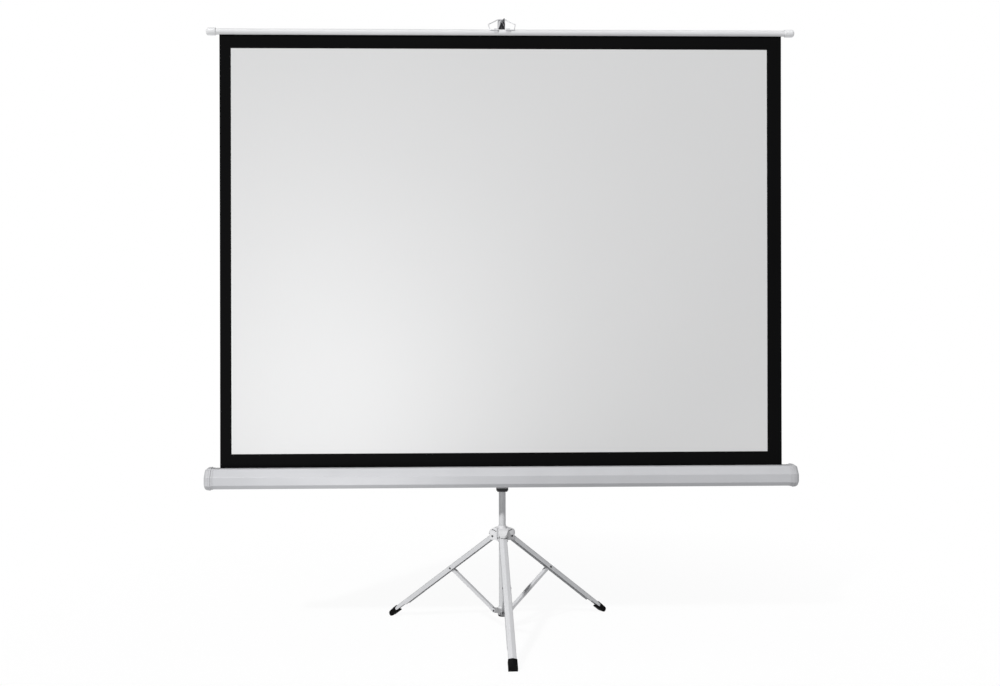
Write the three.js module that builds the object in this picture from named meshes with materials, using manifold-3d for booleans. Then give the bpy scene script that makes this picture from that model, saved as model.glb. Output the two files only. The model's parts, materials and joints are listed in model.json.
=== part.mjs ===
// Tripod projector screen, 84 inch diagonal, 4:3 viewing area.
// Millimetres, +Z up, +X to the right as seen from the audience, screen facing -Y.
// The origin is the middle of the footprint on the floor; the mast axis stands MAST_Y behind it.
import * as THREE from 'three';
import { mergeVertices } from 'three/addons/utils/BufferGeometryUtils.js';
import Module from 'manifold-3d';

const wasm = await Module();
wasm.setup();

// ---------------------------------------------------------------- driving dimensions
const DEG = Math.PI / 180;
const MAST_Y = 92.04;          // mast axis from the origin, so that the footprint is centred
const GAP = 0.3;               // clearance between touching pieces

// tripod
const LEG_AZ = [-88, 32, 152]; // leg directions seen from above, degrees from +X
const LEG_NAME = ['front', 'right', 'left'];
const PIVOT_R = 28;            // radius of the upper and lower pivots
const HUB_Z = 303;             // height of the leg pivots
const COLLAR_Z = 61;           // height of the brace pivots
const LINK = 198.2;            // leg pivot to brace pivot, and brace length
const PHI = Math.acos((HUB_Z - COLLAR_Z) / 2 / LINK); // open angle from the vertical
const BETA = Math.PI / 2 - PHI;                       // slope of leg and brace
const LEG_W = 24.5, LEG_T = 1.2;
const PIN_R = 2.3;

// mast and extension
const MAST_R = 11, MAST_RI = 9.8, MAST_Z0 = 52, MAST_Z1 = 1082;
const EXT_R = 9.2, EXT_RI = 8.0, EXT_Z0 = 1000, EXT_Z1 = 1944;

// case
const CASE_Y = -62, CASE_Z = 504, CASE_HALF = 920, CAP_END = 936;
const CASE_T = 1.0;
const PIVOT_Z = 499;
const ROLL_Y = -72, ROLL_Z = 501, ROLL_R = 19, WOUND_R = 21.2;

// screen
const FAB_Y = -50, FAB_W = 1784, FAB_T = 0.8, FAB_SPLIT = 1380;
const BAR_Z = 1911.5, BAR_R = 9.7, BAR_HALF = 905;
const BAIL_Y = -60.2, BAIL_Z = 1918.3, BAIL_LEN = 62.7, WIRE_R = 1.6;
const HEAD_TOP = 1958.8;

// ---------------------------------------------------------------- materials
const mat = (color, roughness, metalness) => new THREE.MeshStandardMaterial({ color, roughness, metalness });
const whitePaint = () => mat(0xe8e8ea, 0.42, 0.05);
const whitePlastic = () => mat(0xe4e4e6, 0.5, 0.0);
const darkPlastic = () => mat(0x26262a, 0.55, 0.0);
const rubber = () => mat(0x111112, 0.85, 0.0);
const steel = () => mat(0xb4b6ba, 0.35, 0.9);
const darkSteel = () => mat(0x6b6d72, 0.4, 0.8);
const alu = () => mat(0xd9dadd, 0.35, 0.7);
const fabricMat = () => mat(0xf0f0f0, 0.9, 0.0);

// ---------------------------------------------------------------- solid helpers
function solid(geometry) {
  const g = geometry.clone();
  for (const k of Object.keys(g.attributes)) if (k !== 'position') g.deleteAttribute(k);
  const m = mergeVertices(g, 1e-4);
  const P = m.attributes.position.array;
  const I = [];
  let volume = 0;
  const at = (i) => new THREE.Vector3(P[3 * i], P[3 * i + 1], P[3 * i + 2]);
  for (let i = 0; i < m.index.count; i += 3) {
    const [a, b, c] = [m.index.array[i], m.index.array[i + 1], m.index.array[i + 2]];
    if (a === b || b === c || a === c) continue;
    I.push(a, b, c);
    volume += at(a).dot(at(b).cross(at(c)));
  }
  // faces point out
  if (volume < 0) for (let i = 0; i < I.length; i += 3) [I[i + 1], I[i + 2]] = [I[i + 2], I[i + 1]];
  return new wasm.Manifold(new wasm.Mesh({
    numProp: 3,
    vertProperties: new Float32Array(P),
    triVerts: new Uint32Array(I),
  }));
}
function geo(manifold) {
  const m = manifold.getMesh();
  const g = new THREE.BufferGeometry();
  g.setAttribute('position', new THREE.BufferAttribute(new Float32Array(m.vertProperties), 3));
  g.setIndex(new THREE.BufferAttribute(new Uint32Array(m.triVerts), 1));
  g.computeVertexNormals();
  return g;
}
const join = (...s) => s.reduce((a, b) => a.add(b));
const cut = (a, ...s) => s.reduce((x, y) => x.subtract(y), a);

// box given by its low and high corners
function box(x0, x1, y0, y1, z0, z1) {
  const g = new THREE.BoxGeometry(x1 - x0, y1 - y0, z1 - z0);
  g.translate((x0 + x1) / 2, (y0 + y1) / 2, (z0 + z1) / 2);
  return solid(g);
}
// cylinder along an axis, from a to b on that axis, centred on the other two coordinates
function cyl(axis, r, a, b, c1, c2, seg = 24, r2 = r) {
  const g = new THREE.CylinderGeometry(r2, r, b - a, seg);
  if (axis === 'z') { g.rotateX(Math.PI / 2); g.translate(c1, c2, (a + b) / 2); }
  if (axis === 'x') { g.rotateZ(-Math.PI / 2); g.translate((a + b) / 2, c1, c2); }
  if (axis === 'y') { g.translate(c1, (a + b) / 2, c2); }
  return solid(g);
}
// outline in the XZ plane, [x, z] pairs, swept along Y from y0 to y1
function plateY(points, y0, y1, holes = []) {
  const s = new THREE.Shape(points.map(([x, z]) => new THREE.Vector2(x, z)));
  for (const h of holes) s.holes.push(new THREE.Path(h.map(([x, z]) => new THREE.Vector2(x, z))));
  const g = new THREE.ExtrudeGeometry(s, { depth: y1 - y0, bevelEnabled: false, curveSegments: 10 });
  g.rotateX(Math.PI / 2);
  g.translate(0, y1, 0);
  return solid(g);
}
// outline in the YZ plane, [y, z] pairs, swept along X from x0 to x1
function plateX(points, x0, x1) {
  const s = new THREE.Shape(points.map(([y, z]) => new THREE.Vector2(y, z)));
  const g = new THREE.ExtrudeGeometry(s, { depth: x1 - x0, bevelEnabled: false, curveSegments: 10 });
  g.rotateX(Math.PI / 2);
  g.rotateZ(Math.PI / 2);
  g.translate(x0, 0, 0);
  return solid(g);
}
// outline in the XY plane swept along Z
function plateZ(points, z0, z1) {
  const s = new THREE.Shape(points.map(([x, y]) => new THREE.Vector2(x, y)));
  const g = new THREE.ExtrudeGeometry(s, { depth: z1 - z0, bevelEnabled: false, curveSegments: 10 });
  g.translate(0, 0, z0);
  return solid(g);
}
function lathe(profile, seg = 28) {
  const g = new THREE.LatheGeometry(profile.map(([r, z]) => new THREE.Vector2(r, z)), seg);
  g.rotateX(Math.PI / 2);
  return solid(g);
}
function arc(cx, cy, r, a0, a1, n) {
  const out = [];
  for (let i = 0; i <= n; i++) {
    const a = (a0 + (a1 - a0) * i / n) * DEG;
    out.push([cx + r * Math.cos(a), cy + r * Math.sin(a)]);
  }
  return out;
}
// rounded rectangle outline
function roundRect(x0, x1, y0, y1, r, n = 4) {
  return [...arc(x1 - r, y0 + r, r, -90, 0, n), ...arc(x1 - r, y1 - r, r, 0, 90, n),
    ...arc(x0 + r, y1 - r, r, 90, 180, n), ...arc(x0 + r, y0 + r, r, 180, 270, n)];
}
// round rod along a smooth curve
function tubeAlong(points, r, sides, steps) {
  const curve = new THREE.CatmullRomCurve3(points.map((p) => new THREE.Vector3(...p)), false, 'centripetal');
  const s = new THREE.Shape(arc(0, 0, r, 0, 360 - 360 / sides, sides - 1).map(([x, y]) => new THREE.Vector2(x, y)));
  return new THREE.ExtrudeGeometry(s, { steps, bevelEnabled: false, extrudePath: curve });
}

const root = new THREE.Group();
const model = new THREE.Group();
model.position.set(0, MAST_Y, 0);
root.add(model);
function put(name, geometry, material, parent = model) {
  const g = geometry.isBufferGeometry ? geometry : geo(geometry);
  const m = new THREE.Mesh(g, material);
  m.name = name;
  parent.add(m);
  return m;
}

// ---------------------------------------------------------------- tripod
// Each leg set is drawn in its own radial plane: X outwards, Y tangential, Z up.
const legGroups = LEG_AZ.map((az) => {
  const g = new THREE.Group();
  g.rotation.z = az * DEG;
  model.add(g);
  return g;
});

// lower collar: sleeve round the mast with three ears for the braces
{
  let s = lathe([[MAST_R + 0.4, 52.2], [14.2, 52.2], [15, 53.2], [15, 70.4], [14.2, 71.4], [MAST_R + 0.4, 71.4], [MAST_R + 0.4, 52.2]], 28);
  for (const az of LEG_AZ) {
    const ear = plateY([[12.4, 53.8], [26, 54.1], ...arc(PIVOT_R, COLLAR_Z, 7, -80, 80, 8), [20, 69.6], [12.4, 70.0]], -5.2, 5.2);
    const hole = cyl('y', PIN_R + 0.3, -6, 6, PIVOT_R, COLLAR_Z, 14);
    s = s.add(ear.subtract(hole).rotate([0, 0, az]));
  }
  s = s.subtract(cyl('z', MAST_R + 0.4, 45, 80, 0, 0, 28));
  put('lower_collar', s, whitePlastic());
}

function rivet(len, r, headR, headT, seg = 10) {
  // along Y, centred
  const h = len / 2;
  return geo(solid(new THREE.LatheGeometry([[0, -h - headT], [headR * 0.74, -h - headT], [headR, -h], [r, -h],
    [r, h], [headR, h], [headR * 0.74, h + headT], [0, h + headT]]
    .map(([a, b]) => new THREE.Vector2(a, b)), seg)));
}

// leg section: ridged channel, open downwards, u across and v up
const legOuter = [[-LEG_W / 2, -8], [-LEG_W / 2, 4.4], [-LEG_W / 2 + 1.2, 5.9], [-1.5, 9.3], [0, 9.6], [1.5, 9.3],
  [LEG_W / 2 - 1.2, 5.9], [LEG_W / 2, 4.4], [LEG_W / 2, -8]];
const legInner = [[LEG_W / 2 - 2.6, -8], [LEG_W / 2 - 2.6, -6.8], [LEG_W / 2 - LEG_T, -6.8], [LEG_W / 2 - LEG_T, 4.0], [LEG_W / 2 - 2.2, 5.1],
  [1.2, 8.15], [0, 8.35], [-1.2, 8.15], [-LEG_W / 2 + 2.2, 5.1], [-LEG_W / 2 + LEG_T, 4.0], [-LEG_W / 2 + LEG_T, -6.8],
  [-LEG_W / 2 + 2.6, -6.8], [-LEG_W / 2 + 2.6, -8]];
const LEG_S0 = -11, LEG_S1 = 467, CUT_S = 414;

// section in (u, v) swept along the leg from s0 to s1
function legSweep(section, s0, s1) {
  const s = new THREE.Shape(section.map(([u, v]) => new THREE.Vector2(u, v)));
  const g = new THREE.ExtrudeGeometry(s, { depth: s1 - s0, bevelEnabled: false });
  // shape x -> Y, shape y -> Z, depth -> X
  const m = new THREE.Matrix4().set(0, 0, 1, s0, 1, 0, 0, 0, 0, 1, 0, 0, 0, 0, 0, 1);
  g.applyMatrix4(m);
  return solid(g);
}

function legSolid() {
  let s = legSweep([...legOuter, ...legInner], LEG_S0, LEG_S1);
  // rounded upper end, open at the top for the hub
  s = s.subtract(box(LEG_S0 - 2, -6.5, -14, 14, 2.6, 12));
  // lower side walls cut away before the foot
  const cutaway = plateY([[CUT_S, -10], [CUT_S + 2.5, -4.2], [CUT_S + 6, -3.2], [LEG_S1 + 5, -3.2], [LEG_S1 + 5, -10]], -20, 20);
  s = s.subtract(cutaway);
  // no lips where the hub and the brace come in
  s = s.subtract(box(LEG_S0 - 2, 22, -10.9, 10.9, -9, -6));
  s = s.subtract(box(LINK - 34, LINK + 16, -10.9, 10.9, -9, -6));
  // corners of the upper end
  s = s.subtract(plateY([[-14, -12], [-4, -12], [-4, -8.2], [-8.5, -5.5], [-11.2, -1], [-14, -1]], -20, 20));
  // pivot holes
  s = s.subtract(cyl('y', PIN_R + 0.35, -20, 20, 0, 0, 14));
  s = s.subtract(cyl('y', PIN_R + 0.3, -20, 20, LINK, 0, 14));
  return s;
}

// rubber boot: follows the ridged section, flat where it stands on the floor
const bootOuter = [[-12.6, -9.8], [-14, -8.2], [-14, 5.4], [-12.8, 7.4], [-1.6, 11.3], [0, 11.7], [1.6, 11.3], [12.8, 7.4], [14, 5.4], [14, -8.2], [12.6, -9.8]];
const tongue = [[-LEG_W / 2 - GAP, -3.6], [-LEG_W / 2 - GAP, 4.6], [-LEG_W / 2 + 1.1, 6.25], [-1.6, 9.62], [0, 9.95], [1.6, 9.62], [LEG_W / 2 - 1.1, 6.25],
  [LEG_W / 2 + GAP, 4.6], [LEG_W / 2 + GAP, -3.6]];
function footSolid() {
  const s0 = 455, s1 = 489;
  let s = legSweep(bootOuter, s0, s1);
  // rounded toe
  const side = [[s0 - 2, -14], [s0 - 2, 14], [s0 + 14, 11.5], [s1 - 15, 10.2], ...arc(s1 - 12.5, -2.5, 12.5, 74, -4, 6), [s1 - 0.8, -6], [s1 - 3, -9.0], [s1 - 7, -14]];
  s = s.intersect(plateY(side, -20, 20));
  s = s.subtract(legSweep(tongue, s0 - 5, LEG_S1 + GAP));
  // hollow mouth: the cheeks are shorter than the top and the sole
  s = s.subtract(cyl('y', 7.4, -20, 20, s0 - 3.4, 0.5, 20));
  return s;
}

// floor plane seen from the leg's own frame: z = HUB_Z - s*sin(BETA) + v*cos(BETA)
function floorCut() {
  const g = new THREE.BoxGeometry(900, 60, 60);
  const m = new THREE.Matrix4().makeRotationY(-BETA);
  g.translate(0, 0, -30);
  g.translate(0, 0, -HUB_Z);
  g.applyMatrix4(m);
  return solid(g);
}
const legGeo = geo(legSolid());
const footGeo = geo(footSolid().subtract(floorCut()));

// brace section: shallow channel, forked at the collar
function braceSolid() {
  const W = 5.9, t = 1.2, d = 9.4;
  const outer = [[-W - 1.2, -d / 2], [-W - 1.2, d / 2 - 1], [-W - 0.2, d / 2], [W + 0.2, d / 2], [W + 1.2, d / 2 - 1], [W + 1.2, -d / 2]];
  const inner = [[W, -d / 2], [W, d / 2 - t], [-W, d / 2 - t], [-W, -d / 2]];
  let s = legSweep([...outer, ...inner], 10, LINK - 14);
  // end cheeks: round plates on both sides
  const cheekC = (u0) => plateY([...arc(0, 0, 6.2, 90, 270, 8), [12, -5.2], [24, -d / 2], [24, d / 2 - 0.02], [9, d / 2 - 0.02]], u0, u0 + 1.2);
  const cheekB = (u0) => plateY([[LINK - 24, -d / 2], [LINK - 12, -5.0], ...arc(LINK, 0, 5.4, -90, 90, 8), [LINK - 9, d / 2 - 0.02], [LINK - 24, d / 2 - 0.02]], u0, u0 + 1.2);
  s = join(s, cheekC(-W - 1.2), cheekC(W), cheekB(-W - 1.2), cheekB(W));
  s = s.subtract(cyl('y', PIN_R + 0.3, -20, 20, 0, 0, 14));
  s = s.subtract(cyl('y', PIN_R + 0.35, -20, 20, LINK, 0, 14));
  return s;
}
const braceGeo = geo(braceSolid());

for (let i = 0; i < 3; i++) {
  const n = LEG_NAME[i];
  const hubEnd = new THREE.Group();
  hubEnd.position.set(PIVOT_R, 0, HUB_Z);
  hubEnd.rotation.y = BETA;
  legGroups[i].add(hubEnd);
  put(`leg_${n}`, legGeo, whitePaint(), hubEnd);
  put(`foot_${n}`, footGeo, rubber(), hubEnd);
  put(`hub_pin_${n}`, rivet(30.4 + 2 * GAP, PIN_R, 3.4, 1.4), steel(), hubEnd);
  const lp = put(`leg_pin_${n}`, rivet(LEG_W + 2 * GAP, PIN_R, 3.3, 1.3), steel(), hubEnd);
  lp.position.set(LINK, 0, 0);
  const foot = new THREE.Group();
  foot.position.set(PIVOT_R, 0, COLLAR_Z);
  foot.rotation.y = -BETA;
  legGroups[i].add(foot);
  put(`brace_${n}`, braceGeo, whitePaint(), foot);
  put(`collar_pin_${n}`, rivet(14.2 + 2 * GAP, PIN_R, 3.4, 1.3), steel(), foot);
}

// hub: sleeve sliding on the mast, with three hooded lobes that hold the leg ends
{
  const prof = [[MAST_R + 0.4, 288], [15.5, 288], [16.5, 290], [16.5, 322], [15.4, 327], [13.4, 333], [12.4, 338], [MAST_R + 0.4, 338], [MAST_R + 0.4, 288]];
  let s = lathe(prof, 32);
  for (const az of LEG_AZ) {
    const out = [[12.4, 291], [24, 290.5], ...arc(30.2, 306.2, 15.8, -76, 50, 10), [35.4, 324.2], [29, 327.8], [21, 329.6], [12.4, 330]];
    let lobe = plateY(out, -15.2, 15.2);
    // the outer end of the lobe is round seen from above
    const plan = [[8, -15.2], [29, -15.2], ...arc(31.4, -0.7, 14.5, -80, 0, 6), ...arc(31.4, 0.7, 14.5, 0, 80, 6), [29, 15.2], [8, 15.2]];
    lobe = lobe.intersect(plateZ(plan, 275, 335));
    // slot for the leg, roofed above and open below and outwards
    const slot = [[16.9, 281], [16.9, 316], [20, 319.6], [29, 320.6], [34.6, 318], [39.2, 312.6], [42.6, 306.4], [60, 299], [60, 281]];
    lobe = lobe.subtract(plateY(slot, -LEG_W / 2 - 0.5, LEG_W / 2 + 0.5));
    // pin hole, and a curved groove in the outside of each cheek
    lobe = lobe.subtract(cyl('y', PIN_R + 0.3, -20, 20, PIVOT_R, HUB_Z, 14));
    const win = [...arc(PIVOT_R + 1, HUB_Z + 0.5, 21.4, 88, 134, 6), ...arc(PIVOT_R + 1, HUB_Z + 0.5, 18.6, 134, 88, 6)];
    lobe = lobe.subtract(plateY(win, 12.6, 20)).subtract(plateY(win, -20, -12.6));
    s = s.add(lobe.rotate([0, 0, az]));
  }
  s = s.subtract(cyl('z', MAST_R + 0.4, 270, 350, 0, 0, 32));
  put('hub', s, whitePlastic());
}

// ---------------------------------------------------------------- mast
put('mast_tube', lathe([[MAST_RI, MAST_Z0], [MAST_R, MAST_Z0], [MAST_R, MAST_Z1], [MAST_RI, MAST_Z1], [MAST_RI, MAST_Z0]], 32), whitePaint());
put('mast_bottom_plug', lathe([[0, 46.2], [12.4, 46.2], [14, 47.8], [14, 50.8], [13.2, 51.7], [MAST_RI - GAP, 51.7], [MAST_RI - GAP, 82], [MAST_RI - 1.6, 84], [0, 84]], 28), darkPlastic());
put('mast_stop_ring', lathe([[MAST_R + GAP, 71.9], [13.8, 71.9], [14.2, 72.4], [14.2, 76], [13, 77.5], [MAST_R + GAP, 77.5], [MAST_R + GAP, 71.9]], 28), whitePlastic());

// clamp housing at the top of the mast, with ears for the cam lever behind
{
  let s = lathe([[0, 1060], [15.4, 1060], [16.4, 1062], [16.4, 1104], [15, 1108], [12.4, 1110], [0, 1110]], 32);
  s = s.add(plateX([[10, 1084], [25, 1084], ...arc(25, 1096, 6.4, -90, 90, 8), [20, 1103.4], [10, 1105]], -12.6, 12.6));
  s = s.subtract(box(-8, 8, 16.4, 40, 1050, 1120));
  s = s.subtract(cyl('z', MAST_R + GAP, 1050, MAST_Z1 + GAP, 0, 0, 32));
  s = s.subtract(cyl('z', EXT_R + 0.35, 1070, 1120, 0, 0, 32));
  s = s.subtract(box(-1.2, 1.2, 8, 30, 1086, 1120));
  s = s.subtract(cyl('x', 2.6, -20, 20, 25, 1096, 14));
  put('mast_top_collar', s, darkPlastic());
}
put('extension_lock_pin', rivet(26.2, 2.2, 3.8, 1.4, 14).rotateZ(-Math.PI / 2).translate(0, 25, 1096), steel());
{
  const out = [...arc(25, 1096, 6.6, 20, 165, 9), [18.6, 1088], [18.8, 1060], [21.5, 1046], [25.5, 1041.5], [29.0, 1043], [28.4, 1050], [25.6, 1062], [26.4, 1082], [30.6, 1092]];
  let s = plateX(out.reverse(), -7.6, 7.6);
  s = s.subtract(cyl('x', 2.5, -20, 20, 25, 1096, 14));
  put('extension_lock_lever', s, darkPlastic());
}

// ---------------------------------------------------------------- extension rod and head
put('extension_tube', lathe([[EXT_RI, EXT_Z0], [EXT_R, EXT_Z0], [EXT_R, EXT_Z1], [EXT_RI, EXT_Z1], [EXT_RI, EXT_Z0]], 32), alu());
put('extension_bush', lathe([[0, 984], [8.6, 984], [9.5, 985.4], [9.5, 999.7], [EXT_RI - GAP, 999.7], [EXT_RI - GAP, 1024], [6.4, 1026], [0, 1026]], 28), darkPlastic());
{
  // moulded head: closed top with a saddle for the bail, hump behind it
  const side = [[-13, 1923], [11, 1923], [12.4, 1925], [12.4, 1952], [9, 1959.5], [2, 1963.6], [-5.5, 1963.2], [-9.6, 1961.0], [-10.6, HEAD_TOP], [-13, HEAD_TOP]];
  let s = plateX(side, -11.7, 11.7);
  s = s.intersect(plateZ(roundRect(-11.7, 11.7, -13, 12.4, 5, 4), 1900, 1980));
  s = s.subtract(cyl('z', EXT_R + GAP, 1900, EXT_Z1 + 0.4, 0, 0, 28));
  s = s.subtract(cyl('y', 2.0, -14, -9, 0, 1952.5, 12));
  put('hook_head', s, whitePlastic());
}
{
  // dark hook plate in front of the head: triangular body with a recess, and a prong that keeps the bail in
  const tri = [...arc(-7.2, 1926, 3.4, 180, 270, 4), ...arc(7.2, 1926, 3.4, 270, 360, 4), [10.2, 1929.6], [6.6, 1938], ...arc(0, 1945, 3.0, 35, 145, 5), [-6.6, 1938], [-10.2, 1929.6]];
  let s = plateY(tri, -23.5, -13.3);
  const rec = [[-4.4, 1930.4], [4.4, 1930.4], [3.0, 1935], [1.0, 1940], [-1.0, 1940], [-3.0, 1935]];
  s = s.subtract(plateY(rec, -30, -10));
  // back plate carrying the screw above the triangle
  s = s.add(plateY(roundRect(-4.4, 4.4, 1941, 1957, 2.6, 3), -16.2, -13.3));
  const prong = tubeAlong([[6.0, -18.6, 1933], [9.0, -18.6, 1939.5], [9.2, -18.9, 1945], [6.8, -19.4, 1949.5], [5.2, -19.7, 1954], [6.2, -20.0, 1958], [9.0, -20.6, 1962.6]], 1.8, 10, 26);
  s = s.add(solid(prong));
  s = s.subtract(cyl('y', 2.3, -30, -10, 0, 1952.5, 12));
  put('hook', s, darkSteel());
}
put('hook_screw', solid(new THREE.LatheGeometry([[0, 0], [1.7, 0], [1.7, 6.6], [3.2, 6.6], [3.2, 7.4], [2.4, 8.4], [0, 8.4]].map(([a, b]) => new THREE.Vector2(a, b)), 14)
  .rotateX(Math.PI).translate(0, -9.9, 1952.5)), steel());

// ---------------------------------------------------------------- top bar, caps, spline and bail
{
  const ro = BAR_R, ri = 8.5;
  const half = 1.7;
  const ao = Math.asin(half / ro) / DEG, ai = Math.asin(half / ri) / DEG;
  const ring = [...arc(FAB_Y, BAR_Z, ro, -90 + ao, 270 - ao, 28), ...arc(FAB_Y, BAR_Z, ri, 270 - ai, -90 + ai, 22)];
  put('top_bar', plateX(ring, -BAR_HALF, BAR_HALF), whitePaint());
}
for (const [name, sg] of [['top_bar_cap_left', -1], ['top_bar_cap_right', 1]]) {
  // profile in (radius, distance outward), plug inside the tube, domed cup outside
  const p = [[0, BAR_HALF - 22], [7.0, BAR_HALF - 22], [8.1, BAR_HALF - 20.5], [8.1, BAR_HALF + GAP], [10.1, BAR_HALF + GAP], [10.1, BAR_HALF - 1.8],
    [11.6, BAR_HALF - 1.8], [12.4, BAR_HALF - 0.6], [12.4, BAR_HALF + 20], [11.9, BAR_HALF + 23.6], [9.8, BAR_HALF + 26.6], [5.6, BAR_HALF + 28.2], [0, BAR_HALF + 28.6]];
  let s = lathe(p, 22);
  // lathe axis is Z: turn it along X, outward on its own side
  s = s.rotate([0, 90 * sg, 0]).translate([0, FAB_Y, BAR_Z]);
  const e = FAB_W / 2 + 0.6;
  s = s.subtract(box(sg > 0 ? e - 12 : -e, sg > 0 ? e : 12 - e, FAB_Y - 1.2, FAB_Y + 1.2, BAR_Z - 12, BAR_Z - 2.6));
  put(name, s, whitePlastic());
}
put('fabric_spline', solid(new THREE.CylinderGeometry(3.2, 3.2, 1760, 12).rotateZ(-Math.PI / 2).translate(0, FAB_Y, BAR_Z + 0.6)), whitePlastic());
put('screen_fabric_upper', box(-FAB_W / 2, FAB_W / 2, FAB_Y - FAB_T / 2, FAB_Y + FAB_T / 2, FAB_SPLIT + GAP, BAR_Z - 3.2), fabricMat());
for (const [name, sg] of [['bail_clip_left', -1], ['bail_clip_right', 1]]) {
  const x0 = sg > 0 ? 13 : -25, x1 = sg > 0 ? 25 : -13;
  let s = cyl('x', 4.3, x0, x1, BAIL_Y, BAIL_Z, 18);
  const band = [...arc(FAB_Y, BAR_Z, 11.4, 20, 190, 18), ...arc(FAB_Y, BAR_Z, 10.0, 190, 20, 18)];
  s = s.add(plateX(band, x0, x1));
  s = s.subtract(cyl('x', BAR_R + GAP, x0 - 5, x1 + 5, FAB_Y, BAR_Z, 40));
  s = s.subtract(cyl('x', WIRE_R + 0.35, x0 - 5, x1 + 5, BAIL_Y, BAIL_Z, 14));
  put(name, s, whitePlastic());
}
{
  // bail: wire loop leaning back from the bar to the head
  const lean = Math.atan2(46.2, 42.4);
  const at = (x, w) => [x, BAIL_Y + w * Math.sin(lean), BAIL_Z + w * Math.cos(lean)];
  const half = [[11, 0], [24, 0], [35.6, 0], [38.2, 0.8], [39.2, 3.2], [42.6, 28.6], [42.7, 31.2], [41.2, 33.6], [13.2, 60.6], [10.4, 62.3], [6, BAIL_LEN]];
  const pts = [...half.map(([x, w]) => at(-x, w)), ...half.reverse().map(([x, w]) => at(x, w))];
  const path = new THREE.CurvePath();
  for (let i = 0; i < pts.length - 1; i++) path.add(new THREE.LineCurve3(new THREE.Vector3(...pts[i]), new THREE.Vector3(...pts[i + 1])));
  // sampled section rings, one at each bend
  const P = pts.map((p) => new THREE.Vector3(...p));
  const nrm = new THREE.Vector3(0, Math.cos(lean), -Math.sin(lean));
  const pos = [], idx = [], N = 8;
  P.forEach((p, i) => {
    const t = new THREE.Vector3().subVectors(P[Math.min(i + 1, P.length - 1)], P[Math.max(i - 1, 0)]).normalize();
    const b = new THREE.Vector3().crossVectors(t, nrm).normalize();
    for (let k = 0; k < N; k++) {
      const a = (k / N) * 2 * Math.PI;
      const q = p.clone().addScaledVector(nrm, WIRE_R * Math.cos(a)).addScaledVector(b, WIRE_R * Math.sin(a));
      pos.push(q.x, q.y, q.z);
    }
  });
  for (let i = 0; i < P.length - 1; i++) for (let k = 0; k < N; k++) {
    const a = i * N + k, b = i * N + (k + 1) % N, c = a + N, d = b + N;
    idx.push(a, b, c, b, d, c);
  }
  for (let k = 1; k < N - 1; k++) { idx.push(0, k + 1, k); const o = (P.length - 1) * N; idx.push(o, o + k, o + k + 1); }
  const g = new THREE.BufferGeometry();
  g.setAttribute('position', new THREE.BufferAttribute(new Float32Array(pos), 3));
  g.setIndex(idx);
  // faces must point out
  let vol = 0;
  for (let i = 0; i < idx.length; i += 3) {
    const v = [0, 1, 2].map((j) => new THREE.Vector3().fromArray(pos, idx[i + j] * 3).sub(P[0]));
    vol += v[0].dot(v[1].clone().cross(v[2]));
  }
  if (vol < 0) for (let i = 0; i < idx.length; i += 3) [idx[i + 1], idx[i + 2]] = [idx[i + 2], idx[i + 1]];
  g.setIndex(idx);
  put('bail', g, steel());
}

// ---------------------------------------------------------------- carriage and case pivot
{
  let s = plateZ(roundRect(-17, 17, -16, 15.5, 6, 4), 452, 541);
  // stepped lower flange and upper rim
  s = s.add(plateZ(roundRect(-19, 19, -17.5, 17, 7, 4), 451, 458.5));
  s = s.add(plateZ(roundRect(-16.5, 16.5, -15.5, 15, 6, 4), 447.6, 451.5));
  s = s.add(plateZ(roundRect(-19, 19, -17.5, 17, 7, 4), 461, 471));
  // pivot boss towards the case
  s = s.add(cyl('y', 13, -21.6, -10, 0, PIVOT_Z, 24));
  // ears for the release trigger behind
  for (const sg of [-1, 1]) {
    const x0 = sg > 0 ? 9.2 : -13, x1 = sg > 0 ? 13 : -9.2;
    s = s.add(plateX([[12, 519], [24, 521], ...arc(24, 527, 6, -90, 90, 6), [12, 536]], x0, x1));
  }
  s = s.subtract(cyl('z', MAST_R + 0.4, 440, 550, 0, 0, 32));
  s = s.subtract(cyl('y', 4.3, -25, -12.2, 0, PIVOT_Z, 16));
  s = s.subtract(cyl('x', 2.5, -20, 20, 24, 527, 12));
  // seats for the handle ends
  put('carriage', s, darkPlastic());
}
put('trigger_pin', rivet(26.8, 2.1, 3.6, 1.3, 12).rotateZ(-Math.PI / 2).translate(0, 24, 527), steel());
{
  const out = [...arc(24, 527, 5.6, -10, 170, 9), [18.2, 521], [17.4, 505], [17.4, 492], [19.5, 489.5], [23.5, 490.5], [25.6, 497], [27.4, 509], [29.0, 520]];
  let s = plateX(out.reverse(), -8.8, 8.8);
  s = s.subtract(cyl('x', 2.4, -20, 20, 24, 527, 12));
  put('carriage_trigger', s, darkPlastic());
}
{
  // carry handle: a flat loop behind the carriage with a rounded grip, its two arms clasping the carriage
  const outer = [...roundRect(-52, 52, 15.9, 66, 9, 4)];
  const loop = cut(plateZ(outer, 472.4, 486), plateZ(roundRect(-43.5, 43.5, 22, 51, 7, 4), 470, 488));
  let s = join(loop, box(-21, -17.3, -7, 17, 472.4, 486), box(17.3, 21, -7, 17, 472.4, 486));
  s = s.add(plateX(roundRect(50.4, 66.6, 470.4, 488, 6, 3), -38, 38));
  put('carry_handle', s, darkPlastic());
}
put('pivot_washer', cut(cyl('y', 12, -23.4, -21.9, 0, PIVOT_Z, 24), cyl('y', 4.3, -30, -15, 0, PIVOT_Z, 16)), whitePlastic());
put('case_bracket', cut(plateY(roundRect(-62, 62, 487, 511, 5, 3), -25.7, -23.7),
  cyl('y', 4.4, -30, -15, 0, PIVOT_Z, 16), cyl('y', 2.5, -30, -15, -46, PIVOT_Z, 12), cyl('y', 2.5, -30, -15, 46, PIVOT_Z, 12)), steel());
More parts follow.
